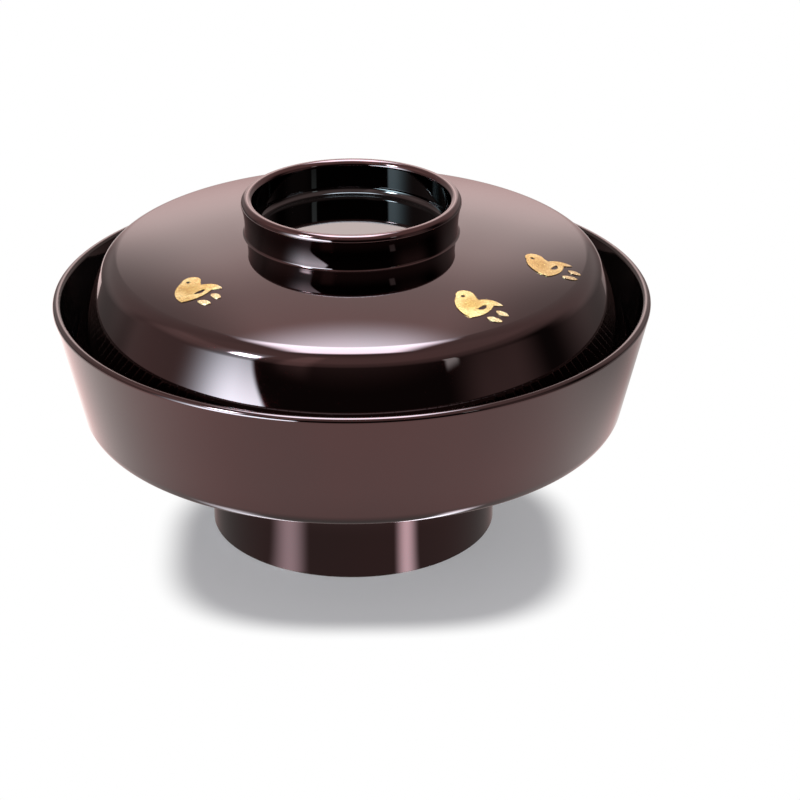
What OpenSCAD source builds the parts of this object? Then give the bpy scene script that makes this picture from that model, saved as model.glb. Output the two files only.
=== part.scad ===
// Lacquered bowl with a drop-in lid, in millimetres.
// The bowl stands on its foot ring at z = 0, and its axis is the Z axis.
// Each piece is a turned core with its own coats of lacquer, and the lid carries three gold plovers.

/* [Bowl] */
// Height of the bowl, from the table to the top of its rim
bowl_h = 58.2; // [54:0.1:66]
// Diameter across the outside of the rim
rim_d = 140; // [130:0.5:156]
// Thickness of the rounded rim
rim_t = 2.0; // [1.6:0.1:3]
// Lean of the outer wall from upright, in degrees
wall_lean = 13.4; // [9:0.1:18]
// How much more the inner wall leans than the outer one, in degrees
wall_taper = 1.1; // [0.4:0.1:2.5]
// Rounding where the outer wall turns under
corner_r = 4.6; // [2:0.1:8]
// Curvature of the underside and of the inside floor
under_r = 165; // [130:1:300]
// Thickness between the underside's curve and the inside floor
base_t = 4.8; // [4:0.1:7]
// Rounding between the inside floor and the inner wall
inner_corner_r = 9; // [5:0.1:14]

/* [Foot ring] */
// Diameter across the outside of the foot ring
foot_d = 67.6; // [56:0.1:80]
// Thickness of the foot ring
foot_t = 4.6; // [3:0.1:7]
// Height at which the underside's curve would cross the axis
foot_h = 16.7; // [13:0.1:19]
// How far the hollow inside the foot ring reaches above that height
foot_well_in = 0.5; // [0.1:0.1:1.2]
// Rounding at the top of that hollow
foot_well_r = 3; // [1:0.1:6]
// Fillet between the foot ring and the underside
foot_fillet_r = 3; // [1:0.1:5]

/* [Lid] */
// Height of the lid's edge above the rounding of the bowl's inside corner
seat_up = 8.8; // [4:0.1:13]
// Height of the lid's dome above its edge
lid_rise = 28.1; // [24:0.1:34]
// Thickness of the lid's rounded edge
edge_t = 2.0; // [1.6:0.1:3]
// Lean of the lid's flank from upright, in degrees
flank_lean = 21.5; // [15:0.1:28]
// How much more the flank's inner face leans than its outer one, in degrees
flank_taper = 1; // [0.4:0.1:2]
// Curvature of the dome
dome_r = 226.5; // [180:0.5:340]
// Rounding of the shoulder between the dome and the flank
shoulder_r = 6; // [3:0.1:9]
// Thickness of the lid under its dome
lid_t = 3.0; // [2.6:0.1:4.5]
// Rounding between the lid's inner face and the inside of its flank
inside_shoulder_r = 4.4; // [2:0.1:7]

/* [Ring knob] */
// Diameter across the knob's rim
knob_d = 51.2; // [42:0.1:58]
// Height of the knob above the dome's crown
knob_h = 7.2; // [5:0.1:10]
// Thickness of the knob's rim
knob_rim_t = 2.8; // [2.4:0.1:4]
// Rounding of the two edges of the knob's rim
knob_edge_r = 1.0; // [0.6:0.05:1.1]
// How far the knob's rim stands out beyond its waist
knob_flare = 0.9; // [0.4:0.1:1.6]
// Fillet between the knob and the dome
knob_fillet_r = 1.6; // [0.8:0.1:2.6]
// Depth of the knob's well below the dome's crown
well_sink = 0.9; // [0.2:0.1:1.4]
// Fillet between the well's wall and its floor
well_fillet_r = 1.8; // [0.8:0.1:3]

/* [Lacquer] */
// Thickness of the lacquer coats
coat_t = 0.3; // [0.15:0.05:0.4]
// Bond line between a coat and what it covers
bond_t = 0.04; // [0.02:0.01:0.06]
// Height of the bare resting edge below the foot's coats
bare_h = 0.3; // [0.1:0.1:1]
// Running clearance between the lid's edge and the bowl's wall
seat_gap = 0.3; // [0.2:0.05:0.6]

/* [Gold plovers] */
// Length of a plover, from its crown to its tail
plover_l = 10.7; // [8:0.1:13]
// Thickness of the gold
gold_t = 0.12; // [0.06:0.01:0.3]
// Distance of the left plover inside the lid's edge
left_in = 20.2; // [19:0.1:25]
// Distance of the front plover inside the lid's edge
front_in = 18.0; // [17:0.1:25]
// Distance of the right plover inside the lid's edge
right_in = 16.6; // [16:0.1:25]

/* [Hidden] */
$fn = 240;

// Colours of the core, the outside, the inside and the gold
core_colour = [0.30, 0.20, 0.15];
outside_colour = [0.20, 0.11, 0.10];
inside_colour = [0.07, 0.06, 0.06];
gold_colour = [0.86, 0.66, 0.28];

// How far a core's faces lie inside the lacquered ones
core_inset = coat_t + bond_t;
// Overlap of shapes that are joined or cut
over = 1;

// Places around the axis, and turns, of the three plovers in degrees
left_at = -141;
front_at = -52.1;
right_at = -16.5;
left_turn = -18;
front_turn = 0;
right_turn = 11;

// Direction of a vector, the way out of a leaning wall, and the way down along it
function direction(v) = v / norm(v);
function wall_out(lean) = [cos(lean), -sin(lean)];
function wall_down(lean) = [-sin(lean), -cos(lean)];
function flipped(p) = [p.x, -p.y];

// Middle of the rounding that touches a leaning wall through p and the inside of a circle
function corner_mid(p, lean, mid, r, corner) =
    let (
        start = p - corner * wall_out(lean),
        from_mid = start - mid,
        along = from_mid * wall_down(lean),
        rest = from_mid * from_mid - pow(r - corner, 2)
    )
    start + (sqrt(along * along - rest) - along) * wall_down(lean);

// Leans of the two inner faces
inner_lean = wall_lean + wall_taper;
flank_inner_lean = flank_lean + flank_taper;

// Middles of the curves of the underside and of the inside floor
under_mid = [0, foot_h + under_r];
floor_mid = [0, under_mid.y + base_t];

// Middle of the bowl's rounded rim, and a point where the inner wall leaves it
rim_mid = [rim_d / 2 - rim_t / 2, bowl_h - rim_t / 2];
rim_inner = rim_mid - rim_t / 2 * wall_out(inner_lean);

// Point where the inner wall meets the rounding of the inside corner
inner_corner_mid = corner_mid(rim_inner, inner_lean, floor_mid, under_r, inner_corner_r);
corner_top = inner_corner_mid + inner_corner_r * wall_out(inner_lean);

// Height of the lid's edge, and the middle of its rounding against the inner wall
edge_low = corner_top.y + seat_up;
edge_mid_h = edge_low + edge_t / 2;
edge_mid = [
    rim_mid.x
        - (rim_mid.y - edge_mid_h) * tan(inner_lean)
        - (rim_t / 2 + edge_t / 2 + seat_gap) / cos(inner_lean),
    edge_mid_h,
];

// Heights of the dome's crown and of the knob's rim, and the middle of the dome's curve
crown_h = edge_low + lid_rise;
knob_top = crown_h + knob_h;
dome_mid = [0, crown_h - dome_r];

// Radius of the knob's waist and of the well inside it
waist_r = knob_d / 2 - knob_flare;
well_r = knob_d / 2 - knob_rim_t;

// Middles of the roundings of the knob's rim
knob_outer_mid = [knob_d / 2 - knob_edge_r, knob_top - knob_edge_r];
knob_inner_mid = [well_r + knob_edge_r, knob_top - knob_edge_r];

// Middles of the fillets around the knob and the foot
knob_fillet_x = waist_r + knob_fillet_r;
knob_fillet_mid = [
    knob_fillet_x,
    dome_mid.y + sqrt(pow(dome_r + knob_fillet_r, 2) - pow(knob_fillet_x, 2)),
];
foot_fillet_x = foot_d / 2 + foot_fillet_r;
foot_fillet_mid = [
    foot_fillet_x,
    under_mid.y - sqrt(pow(under_r + foot_fillet_r, 2) - pow(foot_fillet_x, 2)),
];

// Cove of the knob's wall, from the fillet up to the rim's rounding
cove_h = knob_outer_mid.y - knob_fillet_mid.y;
cove_r = (cove_h * cove_h + knob_flare * knob_flare) / (2 * knob_flare) - knob_edge_r;
cove_mid = [waist_r + cove_r, knob_fillet_mid.y];

// Half outline of a cup: a leaning wall below p, a rounded corner and a curved bottom.
// The points of mouth close the outline from p to the axis.
module cup(p, lean, mid, r, corner, mouth) {
    turn = corner_mid(p, lean, mid, r, corner);
    on_wall = turn + corner * wall_out(lean);
    on_bottom = turn + corner * direction(turn - mid);
    below = mid.y - r - over;
    intersection() {
        translate(mid) circle(r);
        polygon(concat(
            [[0, below], [on_bottom.x, below], on_bottom, turn, on_wall, p],
            mouth
        ));
    }
    translate(turn) circle(corner);
}

// Half outline within a rounded rim, from the outer wall over the rim to the axis
module rimmed_cup(rim, t, lean, inner, mid, r, corner) {
    p = rim + t / 2 * wall_out(lean);
    q = rim - t / 2 * wall_out(inner);
    cup(p, lean, mid, r, corner, [rim, q, [0, q.y]]);
    translate(rim) circle(t / 2);
}

// Half outline of the space inside such a rim, open at the top
module rimmed_space(rim, t, inner, mid, r, corner) {
    p = rim - t / 2 * wall_out(inner);
    top = p - 2 * t * wall_down(inner);
    cup(p, inner, mid, r, corner, [top, [0, top.y]]);
}

// Rounded box from the axis to x, and from y0 up to y1, with its corner at the top
module round_box(x, y0, y1, r) {
    translate([0, y0]) square([x - r, y1 - y0]);
    translate([0, y0]) square([x, y1 - y0 - r]);
    translate([x - r, y1 - r]) circle(r);
}

// The foot ring as a solid drum with its fillet, drawn in by inset
module foot_drum(inset) {
    wall_x = foot_d / 2 - inset;
    in_body = under_mid + (under_r - over) * direction(foot_fillet_mid - under_mid);
    difference() {
        polygon([
            [0, 0], [wall_x, 0], [wall_x, foot_fillet_mid.y], foot_fillet_mid, in_body, [0, in_body.y],
        ]);
        translate(foot_fillet_mid) circle(foot_fillet_r + inset);
    }
}

// Everything inside the bowl's outer faces, drawn in by inset
module bowl_outside(inset) {
    rimmed_cup(
        rim_mid, rim_t - 2 * inset, wall_lean, inner_lean,
        under_mid, under_r - inset, corner_r - inset
    );
    foot_drum(inset);
}

// The bowl's inside, widened by outset
module bowl_inside(outset) {
    rimmed_space(
        rim_mid, rim_t - 2 * outset, inner_lean,
        floor_mid, under_r + outset, inner_corner_r + outset
    );
}

// The hollow inside the foot ring, widened by outset
module foot_well(outset) {
    round_box(
        foot_d / 2 - foot_t + outset, -over, foot_h + foot_well_in + outset, foot_well_r + outset
    );
}

// Everything inside the lid's outer faces without its knob, drawn in by inset
module lid_cap(inset) {
    mirror([0, 1, 0])
        rimmed_cup(
            flipped(edge_mid), edge_t - 2 * inset, flank_lean, flank_inner_lean,
            flipped(dome_mid), dome_r - inset, shoulder_r - inset
        );
}

// The knob's fillet and the drum above it, up to a little over its waist, drawn in by inset
module knob_base(inset) {
    wall_x = waist_r - inset;
    waist_y = knob_fillet_mid.y;
    in_dome = dome_mid + (dome_r - over) * direction(knob_fillet_mid - dome_mid);
    difference() {
        polygon([
            [0, in_dome.y], in_dome, knob_fillet_mid,
            [wall_x, waist_y], [wall_x - over, waist_y + over], [0, waist_y + over],
        ]);
        translate(knob_fillet_mid) circle(knob_fillet_r + inset);
    }
}

// The knob's drum from its waist up over its rounded rim, drawn in by inset
module knob_rim(inset) {
    top_y = knob_top - inset;
    difference() {
        polygon([
            [0, cove_mid.y], cove_mid, knob_outer_mid, [knob_outer_mid.x, top_y],
            [knob_inner_mid.x, top_y], knob_inner_mid, [0, knob_inner_mid.y],
        ]);
        translate(cove_mid) circle(cove_r + inset);
    }
    translate(knob_outer_mid) circle(knob_edge_r - inset);
    translate(knob_inner_mid) circle(knob_edge_r - inset);
}

// Everything inside the lid's outer faces, drawn in by inset
module lid_outside(inset) {
    lid_cap(inset);
    knob_base(inset);
    knob_rim(inset);
}

// The lid's inside, widened by outset
module lid_inside(outset) {
    mirror([0, 1, 0])
        rimmed_space(
            flipped(edge_mid), edge_t - 2 * outset, flank_inner_lean,
            flipped(dome_mid), dome_r - lid_t + outset, inside_shoulder_r + outset
        );
}

// The knob's well up to the height top, widened by outset
module knob_well(outset, top) {
    mirror([0, 1, 0])
        round_box(well_r + outset, -top, well_sink + outset - crown_h, well_fillet_r + outset);
}

// Everything below the edge where the foot's coats stop
module bare_edge() {
    translate([0, -2 * over]) square([foot_d, 2 * over + bare_h]);
}

// Turned core of the bowl, with its foot ring
module bowl_core() {
    color(core_colour) rotate_extrude() difference() {
        bowl_outside(core_inset);
        bowl_inside(core_inset);
        foot_well(core_inset);
    }
}

// Coat over the bowl's outer wall, rim, underside and foot
module bowl_outer_lacquer() {
    color(outside_colour) rotate_extrude() difference() {
        bowl_outside(0);
        bowl_outside(coat_t);
        bowl_inside(core_inset);
        bare_edge();
    }
}

// Coat over the bowl's inside
module bowl_inner_lacquer() {
    color(inside_colour) rotate_extrude() difference() {
        intersection() {
            bowl_inside(coat_t);
            bowl_outside(0);
        }
        bowl_inside(0);
    }
}

// Coat inside the foot ring
module foot_well_lacquer() {
    color(inside_colour) rotate_extrude() difference() {
        foot_well(coat_t);
        foot_well(0);
        bare_edge();
    }
}

// Turned core of the lid, with its ring knob
module lid_core() {
    color(core_colour) rotate_extrude() difference() {
        lid_outside(core_inset);
        lid_inside(core_inset);
        knob_well(core_inset, knob_inner_mid.y);
    }
}

// Coat over the lid's dome, flank, edge and knob
module lid_outer_lacquer() {
    color(outside_colour) rotate_extrude() difference() {
        lid_outside(0);
        lid_outside(coat_t);
        lid_inside(core_inset);
    }
}

// Coat over the lid's inside
module lid_inner_lacquer() {
    color(inside_colour) rotate_extrude() difference() {
        intersection() {
            lid_inside(coat_t);
            lid_cap(0);
        }
        lid_inside(0);
    }
}

// Coat inside the knob's well
module knob_well_lacquer() {
    coat_top = knob_inner_mid.y - bond_t;
    color(inside_colour) rotate_extrude() difference() {
        knob_well(coat_t, coat_top);
        knob_well(0, coat_top);
    }
}

// Leaf between the points a and b, bulging by left and right of the way from a to b
module leaf(a, b, left, right) {
    half = norm(b - a) / 2;
    side = [a.y - b.y, b.x - a.x] / (2 * half);
    left_r = (half * half + left * left) / (2 * left);
    right_r = (half * half + right * right) / (2 * right);
    intersection() {
        translate((a + b) / 2 + (left - left_r) * side) circle(left_r);
        translate((a + b) / 2 - (right - right_r) * side) circle(right_r);
    }
}

// Outline of a plover in flight, drawn around its middle and scaled to plover_l
module plover_outline() {
    tail = [-2.1, -5.6];
    crown = [-3.4, 5.1];
    wing_fold = [3.2, 0.9];
    wing_tip = [5.2, 0.6];
    scale(plover_l / (crown.y - tail.y)) {
        difference() {
            union() {
                translate([-3.1, 2.9]) circle(2.2);
                leaf(tail, crown, 2.8, 2.9);
                leaf([-1.9, -5.4], wing_fold, 3.0, 1.1);
                leaf([-1.2, 0.9], wing_tip, 1.5, 0.6);
            }
            translate([-3.7, 2.7]) circle(0.5);
            leaf([-0.7, -2.1], [1.3, 0.2], 0.15, 1.0);
        }
        leaf([3.5, -1.9], [6.2, -3.3], 0.8, 0.8);
        leaf([1.3, -4.9], [4.8, -5.7], 0.8, 0.8);
    }
}

// Gold plover lying on the dome, at a distance inside the lid's edge and an angle around the axis
module plover(in, at, turn) {
    bottom = dome_r + bond_t;
    color(gold_colour) intersection() {
        rotate_extrude() intersection() {
            difference() {
                translate(dome_mid) circle(bottom + gold_t);
                translate(dome_mid) circle(bottom);
            }
            translate([0, dome_mid.y]) square([rim_d / 2, dome_r + lid_t]);
        }
        rotate(at) translate([edge_mid.x - in, 0, edge_low])
            rotate(turn - at) linear_extrude(lid_rise + lid_t) plover_outline();
    }
}

module plover_left() {
    plover(left_in, left_at, left_turn);
}

module plover_front() {
    plover(front_in, front_at, front_turn);
}

module plover_right() {
    plover(right_in, right_at, right_turn);
}

bowl_core();
bowl_outer_lacquer();
bowl_inner_lacquer();
foot_well_lacquer();
lid_core();
lid_outer_lacquer();
lid_inner_lacquer();
knob_well_lacquer();
plover_left();
plover_front();
plover_right();
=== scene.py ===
"""Looks of the lacquered bowl with its drop-in lid: turned coats, gold plovers, studio and camera."""
import math

import bpy
from mathutils import Euler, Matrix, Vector


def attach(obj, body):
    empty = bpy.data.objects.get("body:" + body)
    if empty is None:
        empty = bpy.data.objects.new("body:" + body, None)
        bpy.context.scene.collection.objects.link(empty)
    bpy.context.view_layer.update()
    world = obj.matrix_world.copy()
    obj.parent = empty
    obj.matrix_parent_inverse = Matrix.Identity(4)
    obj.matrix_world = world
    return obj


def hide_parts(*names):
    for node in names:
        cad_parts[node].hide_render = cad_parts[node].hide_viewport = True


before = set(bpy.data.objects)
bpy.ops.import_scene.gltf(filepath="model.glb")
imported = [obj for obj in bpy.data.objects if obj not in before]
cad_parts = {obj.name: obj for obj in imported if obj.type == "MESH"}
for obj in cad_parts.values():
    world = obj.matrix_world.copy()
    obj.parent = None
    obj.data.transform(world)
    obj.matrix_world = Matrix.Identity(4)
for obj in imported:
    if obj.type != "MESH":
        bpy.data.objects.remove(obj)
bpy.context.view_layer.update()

MM = 0.001

# Sizes of the turned faces in millimetres, and leans in degrees, as in the solids
RIM_D = 140
BOWL_H = 58.2
RIM_T = 2.0
WALL_LEAN = 13.4
WALL_TAPER = 1.1
INNER_LEAN = WALL_LEAN + WALL_TAPER
CORNER_R = 4.6
UNDER_R = 165
BASE_T = 4.8
INNER_CORNER_R = 9
FOOT_D = 67.6
FOOT_T = 4.6
FOOT_H = 16.7
FOOT_WELL_IN = 0.5
FOOT_WELL_TOP = FOOT_H + FOOT_WELL_IN
FOOT_WELL_R = 3
FOOT_FILLET_R = 3
SEAT_UP = 8.8
LID_RISE = 28.1
EDGE_T = 2.0
FLANK_LEAN = 21.5
FLANK_TAPER = 1
FLANK_INNER_LEAN = FLANK_LEAN + FLANK_TAPER
DOME_R = 226.5
SHOULDER_R = 6
LID_T = 3.0
INSIDE_SHOULDER_R = 4.4
KNOB_D = 51.2
KNOB_H = 7.2
KNOB_RIM_T = 2.8
WELL_SINK = 0.9
WELL_FILLET_R = 1.8
COAT_T = 0.3
BOND_T = 0.04
BARE_H = 0.3
SEAT_GAP = 0.3
CORE_INSET = COAT_T + BOND_T

# Sizes that differ a little from the solids: the flank's swell, and the knob's lip, hollow wall and fillet
FLANK_R = 150
KNOB_EDGE_R = 1.35
KNOB_FLARE = 0.75
KNOB_WAIST_DOWN = 5.9
KNOB_FILLET_R = 0.55

# Middles of the plovers' breasts, seen from above
PLOVER_MIDDLES = ((-36.4, -27.0), (26.0, -36.4), (43.3, -13.6))

# Wave crests on the bowl's floor: angles about the axis, each crest lying over those named before it
CREST_ANGLES = (-165, -25, -136, -59, -95)
CREST_OUT = 66
CREST_R = 17
CREST_EDGE = 0.6
CREST_LINE_GAP = 2.9

# Streaks of light on the table beside the foot: angle on the foot, half width and brightness
FOOT_GLINTS = ((-26.5, 5.4, 3.2), (21.5, 3.3, 6.4))

# Steps around the axis, and the longest steps along a face in degrees and millimetres
TURN_STEPS = 240
ARC_STEP = 4
FACE_STEP = 2.5

# Places of a face closer than this are one place, and a mesh's places are told apart by so many digits
ONE_PLACE = 1e-6
PLACE_DIGITS = 5

# Refraction of clear lacquer, full white, and the point that the camera and the lamp aim at
LACQUER_IOR = 1.5
WHITE = (1.0, 1.0, 1.0, 1)
AIM = Vector((0, 0, 40 * MM))


def unit(angle):
    """The direction at an angle in degrees, counted from outwards towards up."""
    turn = math.radians(angle)
    return Vector((math.cos(turn), math.sin(turn)))


def angle_of(way):
    """The angle in degrees of a direction in the plane of a half outline."""
    return math.degrees(math.atan2(way.y, way.x))


def flipped(p):
    """The point or direction mirrored upside down."""
    return Vector((p.x, -p.y))


def corner_mid(p, lean, mid, r, corner):
    """Middle of the rounding that touches a leaning wall through p and the inside of a circle."""
    down = unit(-90 - lean)
    start = p - corner * unit(-lean)
    from_mid = start - mid
    along = from_mid.dot(down)
    rest = from_mid.length_squared - (r - corner) ** 2
    return start + (math.sqrt(along * along - rest) - along) * down


def height_on_circle(r, x):
    """Height above a circle's middle of the point on it at the distance x from the axis."""
    return math.sqrt(r * r - x * x)


# Middles of the bowl's curves
RIM_R = RIM_T / 2
RIM_MID = Vector((RIM_D / 2 - RIM_R, BOWL_H - RIM_R))
UNDER_MID = Vector((0, FOOT_H + UNDER_R))
FLOOR_MID = Vector((0, UNDER_MID.y + BASE_T))
WALL_TOP = RIM_MID + RIM_R * unit(-WALL_LEAN)
CORNER_MID = corner_mid(WALL_TOP, WALL_LEAN, UNDER_MID, UNDER_R, CORNER_R)
INNER_TOP = RIM_MID - RIM_R * unit(-INNER_LEAN)
INNER_CORNER_MID = corner_mid(INNER_TOP, INNER_LEAN, FLOOR_MID, UNDER_R, INNER_CORNER_R)
FOOT_FILLET_X = FOOT_D / 2 + FOOT_FILLET_R
FOOT_FILLET_MID = Vector((
    FOOT_FILLET_X,
    UNDER_MID.y - height_on_circle(UNDER_R + FOOT_FILLET_R, FOOT_FILLET_X),
))

# Middles of the lid's curves
EDGE_R = EDGE_T / 2
EDGE_LOW = INNER_CORNER_MID.y + INNER_CORNER_R * unit(-INNER_LEAN).y + SEAT_UP
EDGE_H = EDGE_LOW + EDGE_R
EDGE_MID = Vector((
    RIM_MID.x
    - (RIM_MID.y - EDGE_H) * math.tan(math.radians(INNER_LEAN))
    - (RIM_R + EDGE_R + SEAT_GAP) / math.cos(math.radians(INNER_LEAN)),
    EDGE_H,
))
CROWN_H = EDGE_LOW + LID_RISE
DOME_MID = Vector((0, CROWN_H - DOME_R))
INSIDE_R = DOME_R - LID_T
FLANK_LOW = EDGE_MID + EDGE_R * unit(FLANK_LEAN)
INSIDE_LOW = EDGE_MID - EDGE_R * unit(FLANK_INNER_LEAN)
SHOULDER_MID = flipped(corner_mid(
    flipped(FLANK_LOW), FLANK_LEAN, flipped(DOME_MID), DOME_R, SHOULDER_R
))
INSIDE_SHOULDER_MID = flipped(corner_mid(
    flipped(INSIDE_LOW), FLANK_INNER_LEAN, flipped(DOME_MID), INSIDE_R, INSIDE_SHOULDER_R
))

# The flank swells a little between its edge and the shoulder, whose middle stays in place
SWELL_R = FLANK_R - SHOULDER_R
FLANK_REACH = FLANK_LOW - SHOULDER_MID
SWELL_SHARE = (FLANK_R ** 2 - SWELL_R ** 2 - FLANK_REACH.length_squared) / (2 * SWELL_R)
FLANK_TOP_LEAN = angle_of(FLANK_REACH) + math.degrees(math.acos(SWELL_SHARE / FLANK_REACH.length))
FLANK_MID = SHOULDER_MID - SWELL_R * unit(FLANK_TOP_LEAN)

# Middles of the knob's curves
KNOB_TOP = CROWN_H + KNOB_H
WAIST_R = KNOB_D / 2 - KNOB_FLARE
WELL_R = KNOB_D / 2 - KNOB_RIM_T
WELL_FLOOR = CROWN_H - WELL_SINK
KNOB_OUTER_MID = Vector((KNOB_D / 2 - KNOB_EDGE_R, KNOB_TOP - KNOB_EDGE_R))
KNOB_INNER_MID = Vector((WELL_R + KNOB_EDGE_R, KNOB_TOP - KNOB_EDGE_R))
COVE_R = (
    KNOB_WAIST_DOWN ** 2 + (WAIST_R - KNOB_OUTER_MID.x) ** 2 - KNOB_EDGE_R ** 2
) / (2 * (KNOB_EDGE_R - WAIST_R + KNOB_OUTER_MID.x))
COVE_MID = Vector((WAIST_R + COVE_R, KNOB_OUTER_MID.y - KNOB_WAIST_DOWN))
KNOB_FILLET_X = WAIST_R + KNOB_FILLET_R
KNOB_FILLET_MID = Vector((
    KNOB_FILLET_X,
    DOME_MID.y + height_on_circle(DOME_R + KNOB_FILLET_R, KNOB_FILLET_X),
))


def line(a, b):
    """A straight stroke of a face, with the open side on the right of the way from a to b."""
    way = (b - a).normalized()
    normal = Vector((way.y, -way.x))
    steps = max(1, math.ceil((b - a).length / FACE_STEP))
    return [(a.lerp(b, i / steps), normal) for i in range(steps + 1)]


def arc(mid, r, start, end):
    """A round stroke: a bulge where the angle grows, and a hollow where it falls."""
    side = 1 if end > start else -1
    sweep = abs(end - start)
    steps = max(2, math.ceil(sweep / ARC_STEP), math.ceil(math.radians(sweep) * r / FACE_STEP))
    angles = [start + (end - start) * i / steps for i in range(steps + 1)]
    return [(mid + r * unit(a), side * unit(a)) for a in angles]


def cut_angle(edge_r, r, inset):
    """How far before the inner wall of a rounded edge a circle of radius r crosses a face inset behind it."""
    return math.degrees(math.acos((edge_r - inset) / r))


def closed(front, back):
    """The strokes of a whole coat: its open face, its hidden face and the two ends between them."""
    hidden = [[(p, -n) for p, n in reversed(stroke)] for stroke in reversed(back)]
    ends = []
    for a, b in ((front[-1][-1][0], hidden[0][0][0]), (hidden[-1][-1][0], front[0][0][0])):
        apart = (b - a).length > ONE_PLACE
        off_axis = max(a.x, b.x) > ONE_PLACE
        ends.append([line(a, b)] if apart and off_axis else [])
    return front + ends[0] + hidden + ends[1]


def bowl_outer_face(inset):
    """Outer face of the bowl from the foot's edge up over the rim."""
    foot_x = FOOT_D / 2 - inset
    at_fillet = angle_of(UNDER_MID - FOOT_FILLET_MID)
    at_corner = angle_of(CORNER_MID - UNDER_MID)
    rim_r = RIM_R - inset
    corner = CORNER_R - inset
    return [
        line(Vector((foot_x, BARE_H)), Vector((foot_x, FOOT_FILLET_MID.y))),
        arc(FOOT_FILLET_MID, FOOT_FILLET_R + inset, 180, at_fillet),
        arc(UNDER_MID, UNDER_R - inset, at_fillet - 180, at_corner),
        arc(CORNER_MID, corner, at_corner, -WALL_LEAN),
        line(CORNER_MID + corner * unit(-WALL_LEAN), RIM_MID + rim_r * unit(-WALL_LEAN)),
        arc(RIM_MID, rim_r, -WALL_LEAN, 180 - INNER_LEAN - cut_angle(RIM_R, rim_r, CORE_INSET)),
    ]


def bowl_inner_face(outset):
    """Inner face of the bowl from the rim down to the middle of the floor."""
    corner = INNER_CORNER_R + outset
    at_corner = angle_of(INNER_CORNER_MID - FLOOR_MID)
    rim_start = 180 - INNER_LEAN - cut_angle(RIM_R, RIM_R, COAT_T)
    top = INNER_TOP if outset == 0 else RIM_MID + RIM_R * unit(rim_start)
    rim = [arc(RIM_MID, RIM_R, rim_start, 180 - INNER_LEAN)] if outset == 0 else []
    return rim + [
        line(top, INNER_CORNER_MID + corner * unit(-INNER_LEAN)),
        arc(INNER_CORNER_MID, corner, -INNER_LEAN, at_corner),
        arc(FLOOR_MID, UNDER_R + outset, at_corner, -90),
    ]


def foot_well_face(outset):
    """Face of the hollow inside the foot ring, from its middle down to the foot's edge."""
    wall_x = FOOT_D / 2 - FOOT_T + outset
    top = FOOT_WELL_TOP + outset
    r = FOOT_WELL_R + outset
    mid = Vector((wall_x - r, top - r))
    return [
        line(Vector((0, top)), Vector((mid.x, top))),
        arc(mid, r, 90, 0),
        line(Vector((wall_x, mid.y)), Vector((wall_x, BARE_H))),
    ]


def lid_flank(inset):
    """The lid's flank and shoulder: swelling a little on the open face, and straight behind it."""
    shoulder = SHOULDER_R - inset
    at_dome = angle_of(SHOULDER_MID - DOME_MID)
    if inset == 0:
        return [
            arc(FLANK_MID, FLANK_R, angle_of(FLANK_LOW - FLANK_MID), FLANK_TOP_LEAN),
            arc(SHOULDER_MID, shoulder, FLANK_TOP_LEAN, at_dome),
        ]
    return [
        line(EDGE_MID + (EDGE_R - inset) * unit(FLANK_LEAN), SHOULDER_MID + shoulder * unit(FLANK_LEAN)),
        arc(SHOULDER_MID, shoulder, FLANK_LEAN, at_dome),
    ]


def lid_outer_face(inset):
    """Outer face of the lid from its edge over the shoulder and the dome to the knob's inner edge."""
    edge_r = EDGE_R - inset
    edge_start = FLANK_INNER_LEAN - 180 + cut_angle(EDGE_R, edge_r, CORE_INSET)
    knob_edge = KNOB_EDGE_R - inset
    at_shoulder = angle_of(SHOULDER_MID - DOME_MID)
    at_knob = angle_of(KNOB_FILLET_MID - DOME_MID)
    waist_x = WAIST_R - inset
    at_rim = angle_of(KNOB_OUTER_MID - COVE_MID)
    top = KNOB_TOP - inset
    return [
        arc(EDGE_MID, edge_r, edge_start, FLANK_LEAN),
        *lid_flank(inset),
        arc(DOME_MID, DOME_R - inset, at_shoulder, at_knob),
        arc(KNOB_FILLET_MID, KNOB_FILLET_R + inset, at_knob + 180, 180),
        line(Vector((waist_x, KNOB_FILLET_MID.y)), Vector((waist_x, COVE_MID.y))),
        arc(COVE_MID, COVE_R + inset, 180, at_rim),
        arc(KNOB_OUTER_MID, knob_edge, at_rim - 180, 90),
        line(Vector((KNOB_OUTER_MID.x, top)), Vector((KNOB_INNER_MID.x, top))),
        arc(KNOB_INNER_MID, knob_edge, 90, 180),
    ]


def lid_inner_face(outset):
    """Inner face of the lid from its middle out and down to the edge."""
    shoulder = INSIDE_SHOULDER_R + outset
    at_shoulder = angle_of(INSIDE_SHOULDER_MID - DOME_MID)
    edge_end = FLANK_INNER_LEAN - 180 + cut_angle(EDGE_R, EDGE_R, COAT_T)
    low = INSIDE_LOW if outset == 0 else EDGE_MID + EDGE_R * unit(edge_end)
    edge = [arc(EDGE_MID, EDGE_R, FLANK_INNER_LEAN - 180, edge_end)] if outset == 0 else []
    return [
        arc(DOME_MID, INSIDE_R + outset, 90, at_shoulder),
        arc(INSIDE_SHOULDER_MID, shoulder, at_shoulder, FLANK_INNER_LEAN),
        line(INSIDE_SHOULDER_MID + shoulder * unit(FLANK_INNER_LEAN), low),
    ] + edge


def knob_well_face(outset):
    """Face of the knob's well from its top edge down to the middle of its floor."""
    wall_x = WELL_R + outset
    low = WELL_FLOOR - outset
    r = WELL_FILLET_R + outset
    mid = Vector((wall_x - r, low + r))
    return [
        line(Vector((wall_x, KNOB_INNER_MID.y - BOND_T)), Vector((wall_x, mid.y))),
        arc(mid, r, 0, -90),
        line(Vector((mid.x, low)), Vector((0, low))),
    ]


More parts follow.
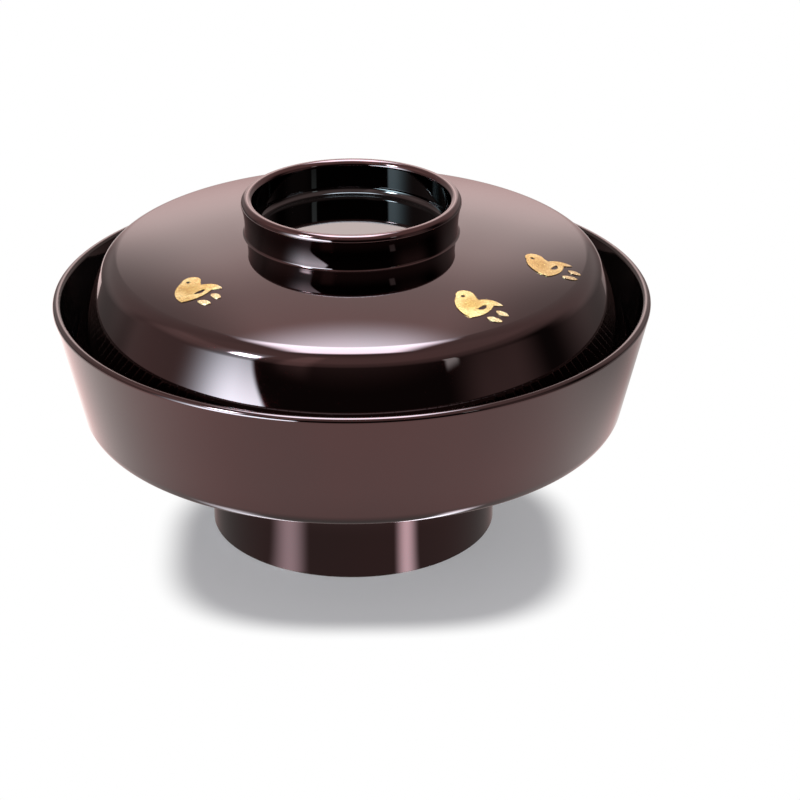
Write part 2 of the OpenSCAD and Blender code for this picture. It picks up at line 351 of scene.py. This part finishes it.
def turned(name, strokes):
    """A closed mesh of the strokes turned about the Z axis, shaded by the faces' true normals."""
    verts = []
    faces = []
    normals = []
    places = {}

    def ring(p):
        """The corners of the ring through p: one on the axis, and otherwise one for each step."""
        key = (round(p.x, PLACE_DIGITS), round(p.y, PLACE_DIGITS))
        if key not in places:
            count = 1 if key[0] == 0 else TURN_STEPS
            places[key] = range(len(verts), len(verts) + count)
            for i in range(count):
                a = 2 * math.pi * i / TURN_STEPS
                verts.append((p.x * math.cos(a) * MM, p.x * math.sin(a) * MM, p.y * MM))
        return places[key]

    for stroke in strokes:
        for (p, p_normal), (q, q_normal) in zip(stroke, stroke[1:]):
            low = ring(p)
            high = ring(q)
            for i in range(TURN_STEPS):
                j = (i + 1) % TURN_STEPS
                corners = [(low, i, p_normal)]
                corners += [(low, j, p_normal)] if len(low) > 1 else []
                corners += [(high, j, q_normal)]
                corners += [(high, i, q_normal)] if len(high) > 1 else []
                faces.append([r[k % len(r)] for r, k, n in corners])
                for r, k, n in corners:
                    a = 2 * math.pi * k / TURN_STEPS
                    normals.append((n.x * math.cos(a), n.x * math.sin(a), n.y))
    mesh = bpy.data.meshes.new(name)
    mesh.from_pydata(verts, [], faces)
    mesh.shade_smooth()
    mesh.normals_split_custom_set(normals)
    mesh.update()
    piece = bpy.data.objects.new(name, mesh)
    bpy.context.scene.collection.objects.link(piece)
    return piece


class Paint:
    """Adds nodes to a material's or a world's tree and joins them."""

    def __init__(self, tree):
        self.tree = tree

    def node(self, kind, **values):
        """A new node of a kind, with its settings."""
        made = self.tree.nodes.new("ShaderNode" + kind)
        for name, value in values.items():
            setattr(made, name, value)
        return made

    def feed(self, socket, value):
        """Joins another node's output to the socket, or sets it to a plain value."""
        if isinstance(value, bpy.types.NodeSocket):
            self.tree.links.new(value, socket)
        else:
            socket.default_value = value

    def math(self, operation, *values):
        """The result of one operation on the values."""
        made = self.node("Math", operation=operation)
        for socket, value in zip(made.inputs, values):
            self.feed(socket, value)
        return made.outputs[0]

    def total(self, *values):
        """All the values added."""
        whole = values[0]
        for value in values[1:]:
            whole = self.math("ADD", whole, value)
        return whole

    def product(self, *values):
        """All the values multiplied."""
        whole = values[0]
        for value in values[1:]:
            whole = self.math("MULTIPLY", whole, value)
        return whole

    def apart(self, a, b):
        """How far two values lie apart."""
        return self.math("ABSOLUTE", self.math("SUBTRACT", a, b))

    def from_axis(self, x, y):
        """Distance from the axis, seen from above."""
        return self.math("SQRT", self.total(self.product(x, x), self.product(y, y)))

    def from_point(self, x, y, mid):
        """Distance from an upright line through the point mid, seen from above."""
        return self.from_axis(self.math("SUBTRACT", x, mid[0]), self.math("SUBTRACT", y, mid[1]))

    def ramp(self, value, start, end, first=0.0, last=1.0):
        """A smooth step from first, where the value is start, to last, where it is end."""
        made = self.node("MapRange", interpolation_type="SMOOTHSTEP")
        for name, given in (
            ("Value", value), ("From Min", start), ("From Max", end), ("To Min", first), ("To Max", last)
        ):
            self.feed(made.inputs[name], given)
        return made.outputs["Result"]

    def fall(self, value, start, end):
        """A smooth step from 1, where the value is start, down to 0, where it is end."""
        return self.ramp(value, start, end, first=1.0, last=0.0)

    def blend(self, factor, a, b):
        """The value a where factor is 0 and b where it is 1."""
        return self.math("MULTIPLY_ADD", factor, self.math("SUBTRACT", b, a), a)

    def mix(self, factor, a, b, blend_type="MIX"):
        """The colour a where factor is 0 and b, or a blended with b, where it is 1."""
        made = self.node("Mix", data_type="RGBA", blend_type=blend_type)
        colours = [socket for socket in made.inputs if socket.type == "RGBA"]
        self.feed(made.inputs["Factor"], factor)
        self.feed(colours[0], a)
        self.feed(colours[1], b)
        return next(socket for socket in made.outputs if socket.type == "RGBA")

    def shader_mix(self, factor, a, b):
        """The shader a where factor is 0 and b where it is 1."""
        made = self.node("MixShader")
        self.feed(made.inputs[0], factor)
        self.feed(made.inputs[1], a.outputs[0])
        self.feed(made.inputs[2], b.outputs[0])
        return made

    def shader_sum(self, a, b):
        """The light of two shaders added."""
        made = self.node("AddShader")
        self.feed(made.inputs[0], a.outputs[0])
        self.feed(made.inputs[1], b.outputs[0])
        return made

    def glow(self, strength, tint):
        """A shader that gives off light of a tint."""
        made = self.node("Emission")
        made.inputs["Color"].default_value = tint
        self.feed(made.inputs["Strength"], strength)
        return made

    def place(self):
        """The place in the piece's own coordinates, in metres."""
        return self.node("TexCoord").outputs["Object"]

    def parts(self, vector):
        """The x, y and z of a vector."""
        made = self.node("SeparateXYZ")
        self.feed(made.inputs[0], vector)
        return made.outputs

    def noise(self, place, scale, detail=2.0):
        """Cloudy values between 0 and 1, finer for a larger scale."""
        made = self.node("TexNoise")
        self.feed(made.inputs["Vector"], place)
        self.feed(made.inputs["Scale"], scale)
        self.feed(made.inputs["Detail"], detail)
        return made.outputs["Fac"]

    def bump(self, height, depth):
        """Normals of a relief, whose heights are shares of a depth in metres."""
        made = self.node("Bump")
        self.feed(made.inputs["Height"], height)
        self.feed(made.inputs["Distance"], depth)
        made.inputs["Strength"].default_value = 1.0
        return made.outputs["Normal"]


def new_paint(name):
    """A new material, with its paint and the sockets of its shader."""
    material = bpy.data.materials.new(name)
    material.use_nodes = True
    paint = Paint(material.node_tree)
    return material, paint, material.node_tree.nodes["Principled BSDF"].inputs


def set_lacquer(paint, shader, place):
    """A clear hard coat over a dark ground that gives back a little red light, both not quite even."""
    red_sheen = (0.45, 0.05, 0.05, 1)
    shader["Metallic"].default_value = 1.0
    shader["Specular Tint"].default_value = red_sheen
    shader["Coat Weight"].default_value = 1.0
    shader["Coat IOR"].default_value = LACQUER_IOR
    shader["Coat Roughness"].default_value = 0.03
    polish = paint.noise(place, scale=160, detail=4)
    paint.feed(shader["Roughness"], paint.ramp(polish, 0.3, 0.75, first=0.04, last=0.07))
    paint.feed(shader["Normal"], paint.bump(paint.noise(place, scale=75, detail=1), depth=0.01 * MM))


def brown_lacquer():
    """Glossy red-brown lacquer, nearly black in the shade, with the knob's rim rubbed a little redder."""
    deep_brown = (0.030, 0.0020, 0.0020, 1)
    light_brown = (0.037, 0.0026, 0.0025, 1)
    rubbed_red = (0.055, 0.006, 0.005, 1)
    rub_start = (KNOB_TOP - 1.4) * MM
    rub_end = (KNOB_TOP - 0.3) * MM
    material, paint, shader = new_paint("brown_lacquer")
    place = paint.place()
    set_lacquer(paint, shader, place)
    tone = paint.ramp(paint.noise(place, scale=28), 0.3, 0.7)
    ground = paint.mix(tone, deep_brown, light_brown)
    on_rim = paint.ramp(paint.parts(place)["Z"], rub_start, rub_end)
    wear = paint.ramp(paint.noise(place, scale=220), 0.2, 0.8, first=0.6)
    paint.feed(shader["Base Color"], paint.mix(paint.product(on_rim, wear), ground, rubbed_red))
    return material


def black_lacquer():
    """Glossy black lacquer with a breath of brown."""
    deep_black = (0.010, 0.0020, 0.0020, 1)
    brown_black = (0.014, 0.0030, 0.0028, 1)
    material, paint, shader = new_paint("black_lacquer")
    place = paint.place()
    set_lacquer(paint, shader, place)
    tone = paint.ramp(paint.noise(place, scale=40), 0.3, 0.7)
    paint.feed(shader["Base Color"], paint.mix(tone, deep_black, brown_black))
    return material


def wave_crests(paint, x, y):
    """Lines of overlapping round wave crests along the foot of the bowl's inner wall, and their area."""
    crest_r = CREST_R * MM
    crest_end = (CREST_R + CREST_EDGE) * MM
    line_rate = 2 * math.pi / (CREST_LINE_GAP * MM)
    lines = 0.0
    area = 0.0
    for angle in CREST_ANGLES:
        away = paint.from_point(x, y, CREST_OUT * MM * unit(angle))
        turn = paint.product(paint.math("SUBTRACT", away, crest_r), line_rate)
        drawn = paint.ramp(paint.math("COSINE", turn), 0.35, 0.85)
        crest = paint.fall(away, crest_r, crest_end)
        lines = paint.blend(crest, lines, drawn)
        area = paint.math("MAXIMUM", area, crest)
    return lines, area


def inside_lacquer():
    """Inside of the bowl: a speckled satin floor with wave crests in low relief, and a glossy black wall."""
    dark_speck = (0.016, 0.0155, 0.0155, 1)
    pale_speck = (0.100, 0.097, 0.097, 1)
    crest_grey = (0.012, 0.0115, 0.0115, 1)
    line_black = (0.0045, 0.0042, 0.0042, 1)
    wall_black = (0.0035, 0.0028, 0.0028, 1)
    warm_sheen = (1.0, 0.76, 0.70, 1)
    crest_share = 0.65
    wall_start = 36 * MM
    wall_end = 44 * MM
    wall_roughness = 0.06
    wall_flatness = 0.9
    grain_height = 0.15
    material, paint, shader = new_paint("bowl_inside_lacquer")
    place = paint.place()
    x, y, z = paint.parts(place)
    wall = paint.ramp(z, wall_start, wall_end)
    lines, crests = wave_crests(paint, x, y)
    grain = paint.noise(place, scale=900, detail=3)
    cloud = paint.ramp(paint.noise(place, scale=60), 0.3, 0.7, last=0.35)
    speckle = paint.total(paint.ramp(grain, 0.35, 0.7), cloud)
    satin = paint.mix(speckle, dark_speck, pale_speck)
    shaded = paint.mix(paint.product(crests, crest_share), satin, crest_grey)
    drawn = paint.mix(lines, shaded, line_black)
    paint.feed(shader["Base Color"], paint.mix(wall, drawn, wall_black))
    satin_roughness = paint.ramp(grain, 0.3, 0.7, first=0.34, last=0.50)
    paint.feed(shader["Roughness"], paint.blend(wall, satin_roughness, wall_roughness))
    relief = paint.math("SUBTRACT", paint.product(grain, grain_height), lines)
    height = paint.product(relief, paint.math("SUBTRACT", 1.0, paint.product(wall, wall_flatness)))
    paint.feed(shader["Normal"], paint.bump(height, depth=0.2 * MM))
    shader["IOR"].default_value = LACQUER_IOR
    shader["Specular Tint"].default_value = warm_sheen
    return material


def gold_leaf():
    """Sprinkled gold, fine-grained: deeper on each plover's breast and paler on its strokes."""
    deep_grain = (0.55, 0.33, 0.10, 1)
    dull_gold = (0.64, 0.42, 0.15, 1)
    bright_gold = (0.80, 0.60, 0.28, 1)
    breast_gold = (0.47, 0.28, 0.07, 1)
    stroke_gold = (0.80, 0.66, 0.48, 1)
    material, paint, shader = new_paint("gold")
    place = paint.place()
    x, y = paint.parts(place)[:2]
    breast = 0.0
    stroke = 1.0
    for middle in PLOVER_MIDDLES:
        away = paint.from_point(x, y, MM * Vector(middle))
        breast = paint.total(breast, paint.ramp(away, 0.8 * MM, 3.6 * MM, first=0.6, last=0.0))
        stroke = paint.product(stroke, paint.ramp(away, 5.6 * MM, 7.0 * MM, last=0.7))
    grain = paint.noise(place, scale=2600, detail=3)
    cloud = paint.ramp(paint.noise(place, scale=260), 0.3, 0.7)
    bright = paint.mix(cloud, dull_gold, bright_gold)
    leaf = paint.mix(paint.ramp(grain, 0.3, 0.5), deep_grain, bright)
    shaded = paint.mix(breast, leaf, breast_gold)
    paint.feed(shader["Base Color"], paint.mix(stroke, shaded, stroke_gold))
    shader["Metallic"].default_value = 1.0
    paint.feed(shader["Roughness"], paint.ramp(grain, 0.3, 0.7, first=0.30, last=0.17))
    paint.feed(shader["Normal"], paint.bump(grain, depth=0.03 * MM))
    return material


def bare_wood():
    """Brown turned wood under the lacquer, bare only on the foot's resting edge."""
    dark_ring = (0.055, 0.028, 0.017, 1)
    pale_ring = (0.12, 0.066, 0.040, 1)
    radians_per_metre = 5200.0
    material, paint, shader = new_paint("core_wood")
    place = paint.place()
    x, y = paint.parts(place)[:2]
    rings = paint.math("SINE", paint.product(paint.from_axis(x, y), radians_per_metre))
    grain = paint.ramp(paint.total(rings, paint.noise(place, scale=300, detail=4)), -0.6, 1.6)
    paint.feed(shader["Base Color"], paint.mix(grain, dark_ring, pale_ring))
    paint.feed(shader["Roughness"], paint.ramp(grain, 0.0, 1.0, first=0.6, last=0.45))
    return material


def dress(piece, body, node, material):
    """Puts a turned coat in a node's place, on its body and with its finish."""
    piece.data.materials.append(material)
    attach(piece, body)
    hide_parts(node)


def paint_node(name, material):
    """Gives a solid of the frame its finish."""
    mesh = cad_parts[name].data
    mesh.materials.clear()
    mesh.materials.append(material)


brown = brown_lacquer()
black = black_lacquer()
inside = inside_lacquer()
gold = gold_leaf()
wood = bare_wood()

for coat, face, body, node, slot, material in (
    ("outer_coat_of_bowl", bowl_outer_face, "bowl", "bowl_outer_lacquer", "brown_lacquer", brown),
    ("inner_coat_of_bowl", bowl_inner_face, "bowl", "bowl_inner_lacquer", "bowl_inside_lacquer", inside),
    ("foot_well_coat", foot_well_face, "bowl", "foot_well_lacquer", "black_lacquer", black),
    ("outer_coat_of_lid", lid_outer_face, "lid", "lid_outer_lacquer", "brown_lacquer", brown),
    ("inner_coat_of_lid", lid_inner_face, "lid", "lid_inner_lacquer", "black_lacquer", black),
    ("knob_well_coat", knob_well_face, "lid", "knob_well_lacquer", "black_lacquer", black),
):
    dress(turned(coat, closed(face(0), face(COAT_T))), body, node, material)

for name in ("plover_left", "plover_front", "plover_right"):
    paint_node(name, gold)
for name in ("bowl_core", "lid_core"):
    paint_node(name, wood)


def floor_disc():
    """The round table top, a flat disc."""
    r = 350 * MM
    steps = 96
    corners = [(*(r * unit(360 / steps * i)), 0) for i in range(steps)]
    mesh = bpy.data.meshes.new("floor")
    mesh.from_pydata(corners, [], [list(range(steps))])
    floor = bpy.data.objects.new("floor", mesh)
    bpy.context.scene.collection.objects.link(floor)
    return floor


def shaded_table(paint, x, y):
    """The table as the camera sees it: white, with the bowl's shadow in a squarish oval."""
    shadow_grey = (0.60, 0.60, 0.62, 1)
    shadow_glow = (0.98, 0.99, 1.02, 1)
    glow_strength = 0.28
    middle_x = 4 * MM
    middle_y = -18 * MM
    half_x = 47.5 * MM
    half_y = 41 * MM
    squareness = 3.0
    across = paint.math("DIVIDE", paint.apart(x, middle_x), half_x)
    along = paint.math("DIVIDE", paint.apart(y, middle_y), half_y)
    powers = [paint.math("POWER", share, squareness) for share in (across, along)]
    outside = paint.ramp(paint.math("POWER", paint.total(*powers), 1 / squareness), 0.86, 1.10)
    matt = paint.node("BsdfDiffuse")
    matt.inputs["Color"].default_value = shadow_grey
    shaded = paint.shader_sum(matt, paint.glow(glow_strength, shadow_glow))
    return paint.shader_mix(outside, shaded, paint.glow(1.0, WHITE))


def streak(paint, x, y, angle, width):
    """A soft streak of light on the table that shows as an upright glint on the foot at an angle."""
    foot_r = FOOT_D / 2 * MM
    start = foot_r * unit(angle - 90)
    way = unit(2 * angle - 90)
    from_x = paint.math("SUBTRACT", x, start.x)
    from_y = paint.math("SUBTRACT", y, start.y)
    along = paint.total(paint.product(from_x, way.x), paint.product(from_y, way.y))
    aside = paint.math("SUBTRACT", paint.product(from_x, way.y), paint.product(from_y, way.x))
    spread = paint.math("MULTIPLY_ADD", paint.math("MAXIMUM", along, 0.0), 2 * width / foot_r, width)
    share = paint.math("DIVIDE", paint.math("ABSOLUTE", aside), spread)
    return paint.product(paint.fall(share, 0.0, 1.0), paint.ramp(along, -2 * MM, 0.0))


def mirrored_table(paint, x, y):
    """The table as the lacquer mirrors it: painted shade under the bowl, painted light brighter to the left
    and dimmer to the back right, and cool streaks of light beside the foot.
    """
    warm_white = (1.10, 1.0, 0.97, 1)
    cool_white = (0.92, 1.0, 1.10, 1)
    dim_middle = (0.0, -8 * MM)
    near = paint.ramp(paint.from_point(x, y, dim_middle), 45 * MM, 88 * MM, first=0.28, last=1.08)
    # Painted light: the mirrored table brighter towards the left and dimmer towards the back right
    far_left = paint.ramp(x, -140 * MM, -50 * MM, first=1.25, last=1.0)
    far_right = paint.ramp(paint.total(x, y), 60 * MM, 160 * MM, first=1.0, last=0.42)
    level = paint.product(near, far_left, far_right)
    beside_foot = paint.fall(paint.from_axis(x, y), 64 * MM, 74 * MM)
    glints = 0.0
    for angle, width, brightness in FOOT_GLINTS:
        shape = streak(paint, x, y, angle, width * MM)
        glints = paint.total(glints, paint.product(beside_foot, shape, brightness))
    return paint.shader_sum(paint.glow(level, warm_white), paint.glow(glints, cool_white))


def white_floor():
    """A white table top that keeps the bowl's shadow, and is clear from below."""
    floor = floor_disc()
    material = bpy.data.materials.new("floor_white")
    material.use_nodes = True
    material.node_tree.nodes.clear()
    paint = Paint(material.node_tree)
    x, y = paint.parts(paint.place())[:2]
    to_camera = paint.node("LightPath").outputs["Is Camera Ray"]
    from_below = paint.node("NewGeometry").outputs["Backfacing"]
    top_face = paint.shader_mix(to_camera, mirrored_table(paint, x, y), shaded_table(paint, x, y))
    whole = paint.shader_mix(from_below, top_face, paint.node("BsdfTransparent"))
    out = paint.node("OutputMaterial")
    paint.feed(out.inputs["Surface"], whole.outputs[0])
    floor.data.materials.append(material)


def patch(paint, azimuth, elevation, sides, heights, soft):
    """A soft-edged rectangle of the studio, by its directions in degrees."""
    left, right = sides
    low, high = heights
    return paint.product(
        paint.ramp(azimuth, left - soft, left),
        paint.fall(azimuth, right, right + soft),
        paint.ramp(elevation, low - soft, low),
        paint.fall(elevation, high, high + soft),
    )


def back_wall(paint, from_back, elevation):
    """Brightness of the lit wall behind the table, with its bright middle."""
    dim = 0.55
    lit = 1.08
    spot_light = 1.4
    side = paint.fall(from_back, 10, 20)
    high = paint.ramp(elevation, 26, 40, first=1.0, last=0.55)
    low = paint.ramp(elevation, -9, 14, first=0.35, last=1.0)
    spot = paint.product(
        paint.ramp(from_back, 2, 8, first=spot_light, last=0.0),
        paint.ramp(elevation, 17, 23),
        paint.fall(elevation, 27, 32),
    )
    wall = paint.math("MULTIPLY_ADD", paint.product(side, high), lit, dim)
    return paint.total(paint.product(low, wall), spot)


def dark_front(paint, front_angle, elevation):
    """Brightness of the dim room on the camera's side."""
    rising = paint.ramp(elevation, 20, 36, first=0.03, last=0.4)
    upper = paint.ramp(elevation, 36, 48, last=0.25)
    top = paint.ramp(elevation, 62, 85, last=-0.3)
    brightness = paint.total(rising, upper, top)
    for sides, heights, soft, light in (
        ((-31, -24), (28, 64), 7, 0.4),
        ((60, 72), (-2, 12), 20, 0.3),
        ((-105, -72), (-6, 40), 12, 0.4),
    ):
        pale = patch(paint, front_angle, elevation, sides, heights, soft)
        brightness = paint.total(brightness, paint.product(pale, light))
    return brightness


def top_box(paint, x, y, elevation):
    """The softbox above the table."""
    middle_x = -0.015
    half_width = paint.ramp(elevation, 50, 62, first=0.08, last=0.14)
    past_side = paint.math("SUBTRACT", paint.apart(x, middle_x), half_width)
    return paint.product(
        paint.ramp(elevation, 46, 59),
        paint.fall(past_side, 0.0, 0.15),
        paint.ramp(y, -0.09, 0.05),
    )


def left_box(paint, front_angle, elevation):
    """The softbox at the front left: fading to its left, with a slanting edge on its right."""
    edge_angle = -37.5
    half_edge = 1.6
    fade_power = 2.4
    fade = paint.math("POWER", paint.ramp(front_angle, -86, -50), fade_power)
    slant = paint.ramp(elevation, 2, 24, first=-17.0, last=8.5)
    past_edge = paint.math("SUBTRACT", paint.total(front_angle, slant), edge_angle)
    return paint.product(
        fade,
        paint.fall(past_edge, -half_edge, half_edge),
        paint.ramp(elevation, 9, 28, first=1.0, last=0.14),
        paint.fall(elevation, 40, 58),
        paint.ramp(elevation, -18, -14),
    )


def left_lamp(paint, front_angle, elevation):
    """The bright core of the softbox at the front left."""
    brightest = 38.5
    return paint.product(
        paint.ramp(front_angle, -64, -56),
        paint.fall(front_angle, -52, -46),
        paint.ramp(elevation, 33, brightest),
        paint.fall(elevation, brightest, 47),
    )


def studio():
    """The room that the lacquer mirrors: a lit wall, softboxes and a dark front; white behind the object."""
    warm_tint = (1.17, 1.0, 0.97, 1)
    top_light = (13.8, 18.5, 21.0, 1)
    left_light = (14.5, 23.5, 26.5, 1)
    lamp_light = (125.0, 190.0, 216.0, 1)
    strip_light = (2.2, 3.0, 3.0, 1)
    soft_grey = (0.4, 0.4, 0.4, 1)
    world = bpy.data.worlds.new("studio")
    bpy.context.scene.world = world
    world.use_nodes = True
    world.cycles.sampling_method = "NONE"
    world.node_tree.nodes.clear()
    paint = Paint(world.node_tree)
    x, y, z = paint.parts(paint.node("TexCoord").outputs["Generated"])
    front_angle = paint.math("DEGREES", paint.math("ARCTAN2", x, paint.product(y, -1.0)))
    from_back = paint.math("ABSOLUTE", paint.math("DEGREES", paint.math("ARCTAN2", x, y)))
    elevation = paint.math("DEGREES", paint.math("ARCSINE", z))

    behind = paint.fall(from_back, 55, 85)
    front = dark_front(paint, front_angle, elevation)
    room = paint.blend(behind, front, back_wall(paint, from_back, elevation))
    colour = paint.mix(1.0, room, warm_tint, blend_type="MULTIPLY")
    for mask, light in (
        (top_box(paint, x, y, elevation), top_light),
        (left_box(paint, front_angle, elevation), left_light),
        (left_lamp(paint, front_angle, elevation), lamp_light),
        (patch(paint, front_angle, elevation, (43, 47), (22, 28), 2), strip_light),
    ):
        colour = paint.mix(mask, colour, light)

    rays = paint.node("LightPath").outputs
    colour = paint.mix(rays["Is Diffuse Ray"], colour, soft_grey)
    colour = paint.mix(rays["Is Camera Ray"], colour, WHITE)
    shine = paint.node("Background")
    paint.feed(shine.inputs["Color"], colour)
    out = paint.node("OutputWorld")
    paint.feed(out.inputs["Surface"], shine.outputs[0])


def soft_lamp(name, place, size, power):
    """A square soft lamp aimed at the bowl, which lights it without showing in the lacquer."""
    light = bpy.data.lights.new(name, "AREA")
    light.size = size
    light.energy = power
    lamp = bpy.data.objects.new(name, light)
    lamp.location = place
    lamp.rotation_euler = (AIM - Vector(place)).to_track_quat("-Z", "Y").to_euler()
    lamp.visible_glossy = False
    bpy.context.scene.collection.objects.link(lamp)


def camera():
    """The photograph's camera: 0.7 m away, 24.5 degrees above the table, aimed a little past the object."""
    elevation = math.radians(24.51)
    distance = 0.7
    focal_pixels = 2948.5
    frame_pixels = 800
    aim_pixel_x = 352.5
    aim_pixel_y = 361.3
    aim_right = aim_pixel_x - frame_pixels / 2
    aim_up = frame_pixels / 2 - aim_pixel_y
    roll = math.radians(0.42)
    data = bpy.data.cameras.new("camera")
    data.sensor_width = 36
    data.lens = data.sensor_width * focal_pixels / frame_pixels
    eye = bpy.data.objects.new("camera", data)
    eye.location = AIM + distance * Vector((0, -math.cos(elevation), math.sin(elevation)))
    ahead = Euler((math.pi / 2 - elevation, 0, 0)).to_quaternion()
    turn = Euler((0, 0, -roll)).to_quaternion()
    aside = Euler((0, math.atan(aim_right / focal_pixels), 0)).to_quaternion()
    lower = Euler((-math.atan(aim_up / focal_pixels), 0, 0)).to_quaternion()
    eye.rotation_mode = "QUATERNION"
    eye.rotation_quaternion = ahead @ turn @ aside @ lower
    bpy.context.scene.collection.objects.link(eye)
    bpy.context.scene.camera = eye


white_floor()
studio()
soft_lamp("lamp_top", place=(0.06, 0.10, 0.80), size=0.45, power=4.5)
camera()
bpy.context.scene.view_settings.view_transform = "Standard"
